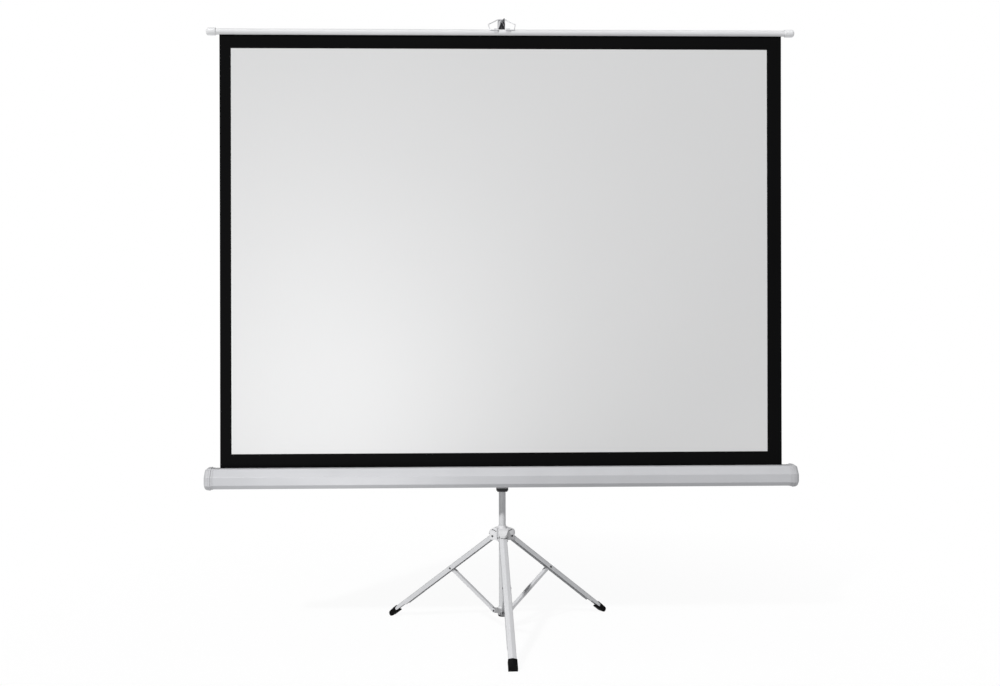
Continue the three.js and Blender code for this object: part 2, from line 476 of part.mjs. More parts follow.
put('pivot_bolt', join(cyl('y', 4.0, -28, -12.6, 0, PIVOT_Z, 18), cyl('y', 7.6, -31.4, -27.4, 0, PIVOT_Z, 6)), steel());
for (const [name, x] of [['bracket_screw_left', -46], ['bracket_screw_right', 46]]) {
  put(name, join(cyl('y', 2.2, -30, -22.6, x, PIVOT_Z, 12), cyl('y', 4.4, -23.4, -21.0, x, PIVOT_Z, 14, 3.2)), steel());
}

// ---------------------------------------------------------------- case
const outerCase = [[-15, 31], [-36, 8], [-36, -18], [-23, -31], [23, -31], [36, -18], [36, 8], [15, 31]];
function offsetIn(p, t) {
  // inward offset of the convex case outline, open at the top
  const out = [];
  const n = p.length;
  for (let i = 0; i < n; i++) {
    const a = p[(i + n - 1) % n], b = p[i], c = p[(i + 1) % n];
    const d1 = [b[0] - a[0], b[1] - a[1]], d2 = [c[0] - b[0], c[1] - b[1]];
    const l1 = Math.hypot(...d1), l2 = Math.hypot(...d2);
    // outline runs counter-clockwise seen from +X with y to the right: inside is on the left
    const n1 = [-d1[1] / l1, d1[0] / l1], n2 = [-d2[1] / l2, d2[0] / l2];
    const k = t / (1 + n1[0] * n2[0] + n1[1] * n2[1]);
    out.push([b[0] + (n1[0] + n2[0]) * k, b[1] + (n1[1] + n2[1]) * k]);
  }
  return out;
}
const toCase = ([y, z]) => [y + CASE_Y, z + CASE_Z];
const innerCase = offsetIn(outerCase, CASE_T);
{
  // folded sheet: closed outline with the slot along the top, lips turned down at the slot
  let s = plateX(outerCase.map(toCase), -CASE_HALF, CASE_HALF);
  s = s.subtract(plateX(innerCase.map(toCase), -CASE_HALF - 5, CASE_HALF + 5));
  s = s.subtract(box(-CASE_HALF - 5, CASE_HALF + 5, -56, -46.2, 525, 540));
  s = s.add(box(-CASE_HALF, CASE_HALF, -57, -56, 530, 534.4));
  s = s.subtract(cyl('y', 5.0, -30, -24, 0, PIVOT_Z, 18));
  s = s.subtract(cyl('y', 2.5, -30, -24, -46, PIVOT_Z, 12));
  s = s.subtract(cyl('y', 2.5, -30, -24, 46, PIVOT_Z, 12));
  put('case_shell', s, whitePaint());
}
const grown = offsetIn(outerCase, -2.2);
for (const [name, sg] of [['case_end_cap_left', -1], ['case_end_cap_right', 1]]) {
  // cup over the end of the sheet, domed outside, with an inner collar and a pocket for the roller shaft
  const X = (a, b) => (sg > 0 ? [a, b] : [-b, -a]);
  const rings = [[2.2, 908], [3.0, 909.2], [3.0, 913], [2.2, 919], [1.0, 926], [-1.6, 931.6], [-6.0, 934.8], [-12, CAP_END]];
  const pos = [], idx = [], n = outerCase.length;
  rings.forEach(([off, x]) => offsetIn(outerCase, -off).map(toCase).forEach(([y, z]) => pos.push(x * sg, y, z)));
  for (let r = 0; r < rings.length - 1; r++) for (let k = 0; k < n; k++) {
    const a = r * n + k, b = r * n + (k + 1) % n, c = a + n, d = b + n;
    idx.push(a, b, c, b, d, c);
  }
  for (let k = 1; k < n - 1; k++) { idx.push(0, k + 1, k); const o = (rings.length - 1) * n; idx.push(o, o + k, o + k + 1); }
  let vol = 0;
  const c0 = new THREE.Vector3(sg * 920, CASE_Y, CASE_Z);
  for (let i = 0; i < idx.length; i += 3) {
    const v = [0, 1, 2].map((j) => new THREE.Vector3().fromArray(pos, idx[i + j] * 3).sub(c0));
    vol += v[0].dot(v[1].clone().cross(v[2]));
  }
  if (vol < 0) for (let i = 0; i < idx.length; i += 3) [idx[i + 1], idx[i + 2]] = [idx[i + 2], idx[i + 1]];
  const g = new THREE.BufferGeometry();
  g.setAttribute('position', new THREE.BufferAttribute(new Float32Array(pos), 3));
  g.setIndex(idx);
  let s = solid(g);
  // room for the end of the sheet
  s = s.subtract(plateX(offsetIn(outerCase, -GAP).map(toCase), ...X(900, CASE_HALF + GAP)));
  s = s.add(plateX(offsetIn(outerCase, CASE_T + 2.6).map(toCase), ...X(906, CASE_HALF + GAP + 0.01))
    .subtract(box(...X(900, 925), -58, -44, 515, 540)));
  s = s.subtract(plateX(offsetIn(outerCase, CASE_T + 4.6).map(toCase), ...X(900, CASE_HALF - 2)));
  s = s.subtract(plateX(offsetIn(outerCase, 6).map(toCase), ...X(922, 929.6)).subtract(cyl('x', 9.5, ...X(915, 940), ROLL_Y, ROLL_Z, 20)));
  // the slot through the inner collar opens the hollow behind it
  s = s.subtract(box(...X(900, 930), -58, -44, 521, 530));
  s = s.subtract(cyl('x', 4.6, ...X(900, 931.4), ROLL_Y, ROLL_Z, 16));
  put(name, s, whitePlastic());
}

// ---------------------------------------------------------------- roller
{
  const ring = (ro, ri, x0, x1, seg) => cut(cyl('x', ro, x0, x1, ROLL_Y, ROLL_Z, seg), cyl('x', ri, x0 - 5, x1 + 5, ROLL_Y, ROLL_Z, seg));
  put('roller_tube', ring(ROLL_R, 17.8, -896, 896, 28), steel());
  put('wound_fabric', ring(WOUND_R, ROLL_R + GAP, -FAB_W / 2, FAB_W / 2, 28), fabricMat());
  for (const [name, sg] of [['roller_plug_left', -1], ['roller_plug_right', 1]]) {
    const X = (a, b) => (sg > 0 ? [a, b] : [-b, -a]);
    let s = join(cyl('x', 17.5, ...X(872, 896.3), ROLL_Y, ROLL_Z, 28), cyl('x', 19, ...X(896.3, 900), ROLL_Y, ROLL_Z, 28));
    s = s.subtract(cyl('x', 4.6, ...X(860, 910), ROLL_Y, ROLL_Z, 16));
    put(name, s, darkPlastic());
  }
  // flat-sided shaft of the spring motor on the left, plain pin on the right
  put('spring_shaft', join(cyl('x', 4.2, -919.5, -560, ROLL_Y, ROLL_Z, 14), box(-930.6, -919, ROLL_Y - 3.0, ROLL_Y + 3.0, ROLL_Z - 1.6, ROLL_Z + 1.6)), steel());
  put('idle_pin', cyl('x', 4.2, 866, 930.6, ROLL_Y, ROLL_Z, 14), steel());
  // tension spring wound round the shaft
  const turns = 8, x0 = -856, x1 = -600, R = 9.2;
  class Helix extends THREE.Curve {
    getPoint(t, target = new THREE.Vector3()) {
      const a = t * turns * 2 * Math.PI;
      return target.set(x0 + (x1 - x0) * t, ROLL_Y + R * Math.cos(a), ROLL_Z + R * Math.sin(a));
    }
  }
  const sec = new THREE.Shape(arc(0, 0, 1.3, 0, 288, 4).map(([a, b]) => new THREE.Vector2(a, b)));
  put('roller_spring', solid(new THREE.ExtrudeGeometry(sec, { steps: turns * 10, bevelEnabled: false, extrudePath: new Helix() })), darkSteel());
}
put('screen_fabric_lower', box(-FAB_W / 2, FAB_W / 2, FAB_Y - FAB_T / 2, FAB_Y + FAB_T / 2, ROLL_Z + 2, FAB_SPLIT), fabricMat());

export default root;
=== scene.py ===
import json
import math

import bmesh
import bpy
from mathutils import Matrix, Vector

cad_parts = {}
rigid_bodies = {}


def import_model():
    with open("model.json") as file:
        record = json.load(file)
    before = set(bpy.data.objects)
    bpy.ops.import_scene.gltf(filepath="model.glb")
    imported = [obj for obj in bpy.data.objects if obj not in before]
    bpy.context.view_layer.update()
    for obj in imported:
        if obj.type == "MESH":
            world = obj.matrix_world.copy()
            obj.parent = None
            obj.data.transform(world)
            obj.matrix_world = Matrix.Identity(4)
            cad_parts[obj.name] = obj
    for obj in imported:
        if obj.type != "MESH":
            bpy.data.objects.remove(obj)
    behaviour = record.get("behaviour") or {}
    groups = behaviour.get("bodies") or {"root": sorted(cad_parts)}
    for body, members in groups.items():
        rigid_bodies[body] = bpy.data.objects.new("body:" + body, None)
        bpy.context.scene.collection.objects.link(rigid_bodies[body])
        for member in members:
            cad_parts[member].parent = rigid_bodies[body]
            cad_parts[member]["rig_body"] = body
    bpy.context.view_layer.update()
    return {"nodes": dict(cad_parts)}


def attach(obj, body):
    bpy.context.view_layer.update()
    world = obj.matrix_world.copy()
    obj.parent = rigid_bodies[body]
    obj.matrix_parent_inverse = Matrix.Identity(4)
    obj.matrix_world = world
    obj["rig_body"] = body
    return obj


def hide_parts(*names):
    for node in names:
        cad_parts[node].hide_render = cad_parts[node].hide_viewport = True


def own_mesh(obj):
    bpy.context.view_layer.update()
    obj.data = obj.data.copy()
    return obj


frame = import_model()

N = frame["nodes"]
MY = 0.09204  # the mast axis, from the middle of the footprint
LEG_AZ = {"front": -88.0, "right": 32.0, "left": 152.0}
COL = bpy.context.scene.collection


def P(x, y, z):
    """Millimetres from the mast axis at the floor, to metres in the row frame."""
    return Vector((x / 1000, y / 1000 + MY, z / 1000))


# ------------------------------------------------------------------ materials
class Mat:
    """A small node builder: one Principled shader and whatever feeds it."""

    def __init__(self, name, metal=0.0, **fixed):
        self.m = bpy.data.materials.new(name)
        self.m.use_nodes = True
        self.t = self.m.node_tree
        self.t.nodes.clear()
        self.out = self.t.nodes.new("ShaderNodeOutputMaterial")
        self.b = self.t.nodes.new("ShaderNodeBsdfPrincipled")
        self.t.links.new(self.b.outputs[0], self.out.inputs[0])
        self.b.inputs["Metallic"].default_value = metal
        for k, v in fixed.items():
            self.b.inputs[k.replace("_", " ")].default_value = v
        self.tc = self.t.nodes.new("ShaderNodeTexCoord")

    def node(self, kind, **settings):
        n = self.t.nodes.new(kind)
        for k, v in settings.items():
            if hasattr(n, k):
                setattr(n, k, v)
            else:
                n.inputs[k].default_value = v
        return n

    def link(self, a, b):
        self.t.links.new(a, b)

    def coords(self, scale=(1, 1, 1), uv=False, rotate=(0, 0, 0)):
        mp = self.node("ShaderNodeMapping")
        mp.inputs["Scale"].default_value = scale
        mp.inputs["Rotation"].default_value = rotate
        self.link(self.tc.outputs["UV" if uv else "Object"], mp.inputs["Vector"])
        return mp.outputs[0]

    def noise(self, scale, detail=2.0, rough=0.5, distortion=0.0, vec=None):
        n = self.node("ShaderNodeTexNoise")
        n.inputs["Scale"].default_value = scale
        n.inputs["Detail"].default_value = detail
        n.inputs["Roughness"].default_value = rough
        n.inputs["Distortion"].default_value = distortion
        self.link(vec or self.tc.outputs["Object"], n.inputs["Vector"])
        return n.outputs["Fac"]

    def remap(self, src, a, b, c, d, smooth=False):
        n = self.node("ShaderNodeMapRange")
        if smooth:
            n.interpolation_type = "SMOOTHSTEP"
        for k, v in zip(("From Min", "From Max", "To Min", "To Max"), (a, b, c, d)):
            n.inputs[k].default_value = v
        self.link(src, n.inputs["Value"])
        return n.outputs[0]

    def math(self, op, a, b):
        n = self.node("ShaderNodeMath", operation=op)
        for i, v in enumerate((a, b)):
            if isinstance(v, (int, float)):
                n.inputs[i].default_value = v
            else:
                self.link(v, n.inputs[i])
        return n.outputs[0]

    def mix(self, fac, a, b):
        n = self.node("ShaderNodeMix", data_type="RGBA")
        self.link(fac, n.inputs[0])
        for sock, v in ((n.inputs[6], a), (n.inputs[7], b)):
            if isinstance(v, tuple):
                sock.default_value = (*v, 1.0) if len(v) == 3 else v
            else:
                self.link(v, sock)
        return n.outputs[2]

    def bump(self, height, strength, distance, after=None):
        n = self.node("ShaderNodeBump")
        n.inputs["Strength"].default_value = strength
        n.inputs["Distance"].default_value = distance
        self.link(height, n.inputs["Height"])
        if after is not None:
            self.link(after, n.inputs["Normal"])
        return n.outputs[0]

    def color(self, v):
        self.link(v, self.b.inputs["Base Color"])

    def rough(self, v):
        self.link(v, self.b.inputs["Roughness"])

    def normal(self, v):
        self.link(v, self.b.inputs["Normal"])

    def height(self):
        sep = self.node("ShaderNodeSeparateXYZ")
        self.link(self.tc.outputs["Object"], sep.inputs[0])
        return sep.outputs


def paint(name, rgb, wear_low=None, coat=0.12):
    """Powder coat: fine orange peel, cloudy gloss, small grey scuffs that grow towards the floor on the legs."""
    k = Mat(name, Coat_Weight=coat, Coat_Roughness=0.22, IOR=1.5)
    cloud = k.remap(k.noise(7.0, 3.0), 0.3, 0.7, 0.0, 1.0)
    base = k.mix(cloud, tuple(c * 0.965 for c in rgb), tuple(min(1.0, c * 1.02) for c in rgb))
    scratch = k.noise(85.0, 5.0, 0.62, 1.4)
    mask = k.remap(scratch, 0.66, 0.70, 0.0, 1.0)
    if wear_low:
        lo, hi = wear_low
        mask = k.math("MULTIPLY", mask, k.remap(k.height()[2], lo, hi, 0.85, 0.06, True))
    else:
        mask = k.math("MULTIPLY", mask, 0.10)
    k.color(k.mix(mask, base, tuple(c * 0.42 for c in rgb)))
    gloss = k.remap(k.noise(31.0, 3.0), 0.3, 0.7, 0.33, 0.45)
    k.rough(k.math("ADD", gloss, k.math("MULTIPLY", mask, 0.2)))
    peel = k.bump(k.noise(950.0, 2.0), 0.10, 0.0002)
    k.normal(k.bump(scratch, 0.03, 0.0004, peel))
    return k.m


def plastic(name, rgb, rough=0.48, grain=1400.0, depth=0.16, lighter=1.06):
    """Moulded plastic: spark-eroded grain, slight flow marks, roughness that varies."""
    k = Mat(name, IOR=1.48)
    flow = k.noise(16.0, 3.0, 0.5, 0.8)
    k.color(k.mix(k.remap(flow, 0.3, 0.7, 0.0, 1.0), tuple(c * 0.94 for c in rgb), tuple(min(1, c * lighter) for c in rgb)))
    k.rough(k.remap(k.noise(60.0, 4.0), 0.25, 0.75, rough - 0.06, rough + 0.08))
    v = k.node("ShaderNodeTexVoronoi")
    v.inputs["Scale"].default_value = grain
    k.link(k.tc.outputs["Object"], v.inputs["Vector"])
    first = k.bump(v.outputs["Distance"], depth, 0.00012)
    k.normal(k.bump(flow, 0.04, 0.0005, first))
    return k.m


def rubber(name):
    k = Mat(name, IOR=1.5, Specular_IOR_Level=0.10)
    dust = k.remap(k.noise(70.0, 5.0, 0.6), 0.42, 0.75, 0.0, 1.0)
    low = k.remap(k.height()[2], 0.0, 0.018, 0.9, 0.12, True)
    k.color(k.mix(k.math("MULTIPLY", dust, low), (0.0022, 0.0022, 0.0025), (0.014, 0.0135, 0.013)))
    k.rough(k.remap(k.noise(140.0, 3.0), 0.3, 0.7, 0.62, 0.80))
    k.normal(k.bump(k.noise(1700.0, 3.0), 0.3, 0.00015))
    return k.m


def metal(name, rgb, rough=0.28, along=0, streak=900.0, spots=0.06, aniso=0.0, metallic=1.0):
    """Drawn or turned metal: fine streaks along one axis and a few dull spots."""
    k = Mat(name, metal=metallic, Anisotropic=aniso)
    scale = [streak] * 3
    scale[along] = streak / 90.0
    lines = k.noise(1.0, 3.0, 0.6, vec=k.coords(tuple(scale)))
    dull = k.remap(k.noise(55.0, 4.0), 0.55, 0.75, 0.0, 1.0)
    tone = k.mix(k.remap(lines, 0.3, 0.7, 0.0, 1.0), tuple(c * 0.90 for c in rgb), tuple(min(1, c * 1.05) for c in rgb))
    k.color(k.mix(k.math("MULTIPLY", dull, spots * 5), tone, tuple(c * 0.72 for c in rgb)))
    k.rough(k.math("ADD", k.remap(lines, 0.25, 0.75, rough - 0.05, rough + 0.07), k.math("MULTIPLY", dull, spots * 2)))
    k.normal(k.bump(lines, 0.06, 0.00012))
    return k.m


def cloth(name, rgb, rough, sheen, weave, tone=0.02, gain=0.0):
    """Coated woven cloth: the weave reads through the coating. The pattern lies in the sheet's own flat coordinates, in metres."""
    k = Mat(name, Sheen_Weight=sheen, Sheen_Roughness=0.5, IOR=1.45, Specular_IOR_Level=0.25 + gain)
    pitch = 2 * math.pi / weave / (2 * math.pi)
    waves = []
    for axis in ("X", "Y"):
        w = k.node("ShaderNodeTexWave", bands_direction=axis)
        w.inputs["Scale"].default_value = 1.0 / (pitch * 20.0) * 2 * math.pi
        w.inputs["Distortion"].default_value = 0.35
        w.inputs["Detail"].default_value = 1.0
        k.link(k.tc.outputs["UV"], w.inputs["Vector"])
        waves.append(w.outputs["Fac"])
    net = k.math("MULTIPLY", waves[0], waves[1])
    slub = k.noise(1.0, 3.0, 0.6, vec=k.coords((300, 22, 1), uv=True))
    cloud = k.noise(3.0, 3.0, 0.5, vec=k.coords((1, 1, 1), uv=True))
    a = tuple(c * (1 - tone) for c in rgb)
    b = tuple(min(1.0, c * (1 + tone)) for c in rgb)
    k.color(k.mix(k.remap(k.math("ADD", slub, cloud), 0.7, 1.3, 0.0, 1.0), a, b))
    k.rough(k.remap(slub, 0.3, 0.7, rough - 0.03, rough + 0.05))
    k.normal(k.bump(slub, 0.02, 0.0003, k.bump(net, 0.10, 0.00015)))
    return k.m


WHITE = (0.498, 0.501, 0.517)
M = {
    "case_paint": paint("case_paint", WHITE),
    "bar_paint": paint("bar_paint", (0.74, 0.742, 0.75)),
    "leg_paint": paint("leg_paint", (0.60, 0.603, 0.615), wear_low=(0.02, 0.26)),
    "mast_paint": paint("mast_paint", (0.585, 0.588, 0.597), coat=0.2),
    "white_plastic": plastic("white_plastic", (0.63, 0.63, 0.645)),
    "hub_plastic": plastic("hub_plastic", (0.67, 0.67, 0.68), rough=0.40, grain=1100.0, depth=0.10),
    "cap_plastic": plastic("cap_plastic", (0.455, 0.457, 0.47), rough=0.40, grain=1800.0, depth=0.08),
    "bar_cap_plastic": plastic("bar_cap_plastic", (0.78, 0.782, 0.79), rough=0.40, grain=1800.0, depth=0.08),
    "dark_plastic": plastic("dark_plastic", (0.016, 0.016, 0.018), rough=0.46, lighter=1.5),
    "boot_rubber": rubber("boot_rubber"),
    "zinc_steel": metal("zinc_steel", (0.63, 0.635, 0.65), 0.30),
    "wire_steel": metal("wire_steel", (0.90, 0.905, 0.915), 0.36, streak=1400.0, spots=0.02, metallic=0.3),
    "hook_metal": metal("hook_metal", (0.075, 0.075, 0.082), 0.34, along=2),
    # dark grey: painted shade along the lower edges of the legs
    "lower_edge_shade": metal("lower_edge_shade", (0.16, 0.16, 0.165), 0.5, streak=1200.0),
    "grey_plastic": plastic("grey_plastic", (0.30, 0.30, 0.307), rough=0.44, grain=1100.0, depth=0.12),
    "ring_plastic": plastic("ring_plastic", (0.42, 0.42, 0.43), rough=0.5),
    # near-black: painted shade for the hollow rolled ends of the rivets
    "rivet_end_shade": plastic("rivet_end_shade", (0.003, 0.003, 0.0034), rough=0.66),
    "rivet_metal": metal("rivet_metal", (0.12, 0.12, 0.125), 0.45, streak=1600.0),
    "rod_metal": metal("rod_metal", (0.80, 0.805, 0.82), 0.27, along=2, streak=1500.0, spots=0.02),
    "tube_steel": metal("tube_steel", (0.55, 0.56, 0.58), 0.34, along=0, streak=1300.0),
    "cloth_white": cloth("cloth_white", (0.658, 0.658, 0.658), 0.80, 0.05, 1 / 0.0009, 0.006),
    "cloth_border": cloth("cloth_border", (0.0036, 0.0036, 0.0038), 0.85, 0.0, 1 / 0.0009, 0.10, -0.20),
    "cloth_back": cloth("cloth_back", (0.020, 0.020, 0.022), 0.72, 0.12, 1 / 0.0016, 0.12),
}
NODE_MAT = {}
for n in N:
    NODE_MAT[n] = "zinc_steel"
for n in ("leg", "brace"):
    for a in LEG_AZ:
        NODE_MAT[f"{n}_{a}"] = "leg_paint"
for a in LEG_AZ:
    NODE_MAT[f"foot_{a}"] = "boot_rubber"
    for n in ("hub", "leg", "collar"):
        NODE_MAT[f"{n}_pin_{a}"] = "rivet_metal"
NODE_MAT.update({
    "mast_tube": "mast_paint", "top_bar": "bar_paint", "case_shell": "case_paint", "lower_collar": "grey_plastic", "hub": "hub_plastic",
    "hook_head": "white_plastic", "top_bar_cap_left": "bar_cap_plastic", "top_bar_cap_right": "bar_cap_plastic", "fabric_spline": "white_plastic",
    "bail_clip_left": "white_plastic", "bail_clip_right": "white_plastic", "pivot_washer": "white_plastic",
    "case_end_cap_left": "cap_plastic", "case_end_cap_right": "cap_plastic", "mast_bottom_plug": "dark_plastic",
    "mast_stop_ring": "hub_plastic", "mast_top_collar": "dark_plastic", "extension_lock_lever": "dark_plastic",
    "extension_bush": "dark_plastic", "carriage": "dark_plastic", "carriage_trigger": "dark_plastic", "carry_handle": "dark_plastic",
    "roller_plug_left": "dark_plastic", "roller_plug_right": "dark_plastic", "bail": "wire_steel", "hook": "hook_metal",
    "roller_spring": "hook_metal", "extension_tube": "rod_metal", "roller_tube": "tube_steel",
    "screen_fabric_upper": "cloth_white", "screen_fabric_lower": "cloth_white", "wound_fabric": "cloth_border",
})
for n, o in N.items():
    o.data.materials.clear()
    o.data.materials.append(M[NODE_MAT[n]])
    for p in o.data.polygons:
        p.material_index = 0


# ------------------------------------------------------------------ mesh helpers
def finish_mesh(o, angle=38.0, weighted=True):
    me = o.data
    me.validate()
    for p in me.polygons:
        p.use_smooth = True
    me.set_sharp_from_angle(angle=math.radians(angle))
    if weighted:
        w = o.modifiers.new("wn", "WEIGHTED_NORMAL")
        w.keep_sharp = True
        apply(o)


def apply(o):
    """Applies every modifier."""
    dg = bpy.context.evaluated_depsgraph_get()
    dg.update()
    me = bpy.data.meshes.new_from_object(o.evaluated_get(dg), preserve_all_data_layers=True, depsgraph=dg)
    old = o.data
    o.modifiers.clear()
    o.data = me
    if old.users == 0:
        bpy.data.meshes.remove(old)


def place(o, nodes, material=None, body=None):
    """Rides on the body of the node it stands for, takes its material and slot."""
    node = nodes[0] if nodes else None
    key = material or NODE_MAT[node]
    if key and not len(o.data.materials):
        o.data.materials.append(M[key])
    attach(o, body or N[node]["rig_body"])
    if nodes:
        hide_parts(*nodes)
    return o


def refine(node, width=0.5, segments=2, angle=30.0, sharp=38.0, dissolve=0.6, name=None):
    """A copy of a CAD solid with its flat faces joined and its edges rounded. width in mm."""
    me = N[node].data.copy()
    me.materials.clear()
    o = bpy.data.objects.new(name or f"{node}_body", me)
    COL.objects.link(o)
    bm = bmesh.new()
    bm.from_mesh(me)
    bmesh.ops.remove_doubles(bm, verts=bm.verts, dist=2e-6)
    bmesh.ops.dissolve_degenerate(bm, dist=2e-6, edges=bm.edges)
    bmesh.ops.dissolve_limit(bm, angle_limit=math.radians(dissolve), use_dissolve_boundaries=False, verts=bm.verts, edges=bm.edges)
    bmesh.ops.recalc_face_normals(bm, faces=bm.faces)
    bm.to_mesh(me)
    bm.free()
    if me.attributes.get("custom_normal"):
        me.attributes.remove(me.attributes["custom_normal"])
    if width:
        b = o.modifiers.new("bevel", "BEVEL")
        b.width = width / 1000
        b.segments = segments
        b.limit_method = "ANGLE"
        b.angle_limit = math.radians(angle)
        b.use_clamp_overlap = True
        b.miter_outer = "MITER_ARC"
        apply(o)
    finish_mesh(o, sharp)
    return place(o, [node])


def build(name, verts, faces, nodes, material=None, body=None, sharp=38.0, weighted=True, face_mats=None, mats=None):
    """A closed mesh from points in the row frame, in metres."""
    me = bpy.data.meshes.new(name)
    me.from_pydata([tuple(v) for v in verts], [], faces)
    if mats:
        for m in mats:
            me.materials.append(M[m])
        for p, i in zip(me.polygons, face_mats):
            p.material_index = i
    bm = bmesh.new()
    bm.from_mesh(me)
    bmesh.ops.recalc_face_normals(bm, faces=bm.faces)
    bm.to_mesh(me)
    bm.free()
    o = bpy.data.objects.new(name, me)
    COL.objects.link(o)
    finish_mesh(o, sharp, weighted)
    return place(o, nodes, material, body)


def fillet(points, r, n=4):
    """Closed outline with its corners rounded. r is one radius, or one for each corner."""
    out = []
    count = len(points)
    for i, p in enumerate(points):
        ri = r[i] if isinstance(r, (list, tuple)) else r
        a = Vector(points[i - 1]) - Vector(p)
        b = Vector(points[(i + 1) % count]) - Vector(p)
        la, lb = a.length, b.length
        a.normalize(), b.normalize()
        half = math.acos(max(-1.0, min(1.0, a.dot(b)))) / 2
        if ri <= 0 or half > math.radians(89):
            out.append(tuple(p))
            continue
        t = min(ri / math.tan(half), 0.49 * la, 0.49 * lb)
        rr = t * math.tan(half)
        centre = Vector(p) + (a + b).normalized() * (rr / math.sin(half))
        s, e = Vector(p) + a * t - centre, Vector(p) + b * t - centre
        sweep = math.atan2(s.x * e.y - s.y * e.x, s.dot(e))
        for k in range(n + 1):
            q = sweep * k / n
            out.append((centre.x + s.x * math.cos(q) - s.y * math.sin(q), centre.y + s.x * math.sin(q) + s.y * math.cos(q)))
    return out


def offset(points, d):
    """The convex counter-clockwise outline grown by d."""
    out, n = [], len(points)
    for i in range(n):
        a, b, c = (Vector(points[(i + k) % n]) for k in (-1, 0, 1))
        u, v = (b - a).normalized(), (c - b).normalized()
        n1, n2 = Vector((u.y, -u.x)), Vector((v.y, -v.x))
        q = b + (n1 + n2) * (d / (1 + n1.dot(n2)))
        out.append((q.x, q.y))
    return out


def extrude_x(name, outline, x0, x1, nodes, steps=1, **kw):
    """Outline of (y, z), mm from the mast axis, swept along X."""
    n = len(outline)
    verts, faces = [], []
    for s in range(steps + 1):
        x = x0 + (x1 - x0) * s / steps
        verts += [P(x, y, z) for y, z in outline]
    for s in range(steps):
        for i in range(n):
            j = (i + 1) % n
            faces.append((s * n + i, s * n + j, (s + 1) * n + j, (s + 1) * n + i))
    faces.append(tuple(range(n)))
    faces.append(tuple(steps * n + i for i in range(n)))
    return build(name, verts, faces, nodes, **kw)


def lathe(name, profile, origin, axis, nodes, seg=48, closed=False, **kw):
    """Profile of (radius, distance along the axis), mm, turned about the axis through origin."""
    q = Vector((0, 0, 1)).rotation_difference(Vector(axis).normalized()).to_matrix()
    verts, rings, faces = [], [], []
    for r, h in profile:
        if r < 1e-6:
            rings.append([len(verts)])
            verts.append(origin + q @ Vector((0, 0, h / 1000)))
        else:
            rings.append(list(range(len(verts), len(verts) + seg)))
            verts += [origin + q @ Vector((r / 1000 * math.cos(2 * math.pi * k / seg), r / 1000 * math.sin(2 * math.pi * k / seg), h / 1000)) for k in range(seg)]
    pairs = list(zip(rings, rings[1:]))
    if closed:
        pairs.append((rings[-1], rings[0]))
    for a, b in pairs:
        for k in range(seg):
            j = (k + 1) % seg
            if len(a) == 1 and len(b) == 1:
                continue
            if len(a) == 1:
                faces.append((a[0], b[j], b[k]))
            elif len(b) == 1:
                faces.append((a[k], a[j], b[0]))
            else:
                faces.append((a[k], a[j], b[j], b[k]))
    return build(name, verts, faces, nodes, **kw)


def smooth_path(points, corner, n=5):
    """A 3D line with its corners rounded, in mm."""
    pts = [Vector(p) for p in points]
    out = [pts[0]]
    for a, b, c in zip(pts, pts[1:], pts[2:]):
        u, v = a - b, c - b
        t = min(corner, u.length * 0.48, v.length * 0.48)
        p0, p2 = b + u.normalized() * t, b + v.normalized() * t
        for k in range(n + 1):
            s = k / n
            out.append(p0 * (1 - s) ** 2 + b * 2 * s * (1 - s) + p2 * s * s)
    out.append(pts[-1])
    return out


def wire(name, points, radius, nodes, sides=14, cap=True, **kw):
    """Round rod along a line of points, mm from the mast axis."""
    pts = [Vector(p) for p in points]
    verts, faces = [], []
    tangent = (pts[1] - pts[0]).normalized()
    ref = Vector((0, 1, 0)) if abs(tangent.y) < 0.9 else Vector((1, 0, 0))
    nrm = (ref - tangent * ref.dot(tangent)).normalized()
    for i, p in enumerate(pts):
        t = (pts[min(i + 1, len(pts) - 1)] - pts[max(i - 1, 0)]).normalized()
        nrm = (nrm - t * nrm.dot(t)).normalized()
        bi = t.cross(nrm)
        for k in range(sides):
            a = 2 * math.pi * k / sides
            q = p + (nrm * math.cos(a) + bi * math.sin(a)) * radius
            verts.append(P(*q))
    for i in range(len(pts) - 1):
        for k in range(sides):
            j = (k + 1) % sides
            faces.append((i * sides + k, i * sides + j, (i + 1) * sides + j, (i + 1) * sides + k))
    if cap:
        faces.append(tuple(range(sides)))
        faces.append(tuple((len(pts) - 1) * sides + k for k in range(sides)))
    return build(name, verts, faces, nodes, **kw)


def arc(cx, cy, r, a0, a1, n):
    return [(cx + r * math.cos(math.radians(a0 + (a1 - a0) * i / n)), cy + r * math.sin(math.radians(a0 + (a1 - a0) * i / n))) for i in range(n + 1)]


# ------------------------------------------------------------------ case
CASE_Y, CASE_Z = -62.0, 504.0
RIM = [(-15, 31), (-36, 8), (-36, -18), (-23, -31), (23, -31), (36, -18), (36, 8), (15, 31)]
to_case = lambda pts: [(y + CASE_Y, z + CASE_Z) for y, z in pts]


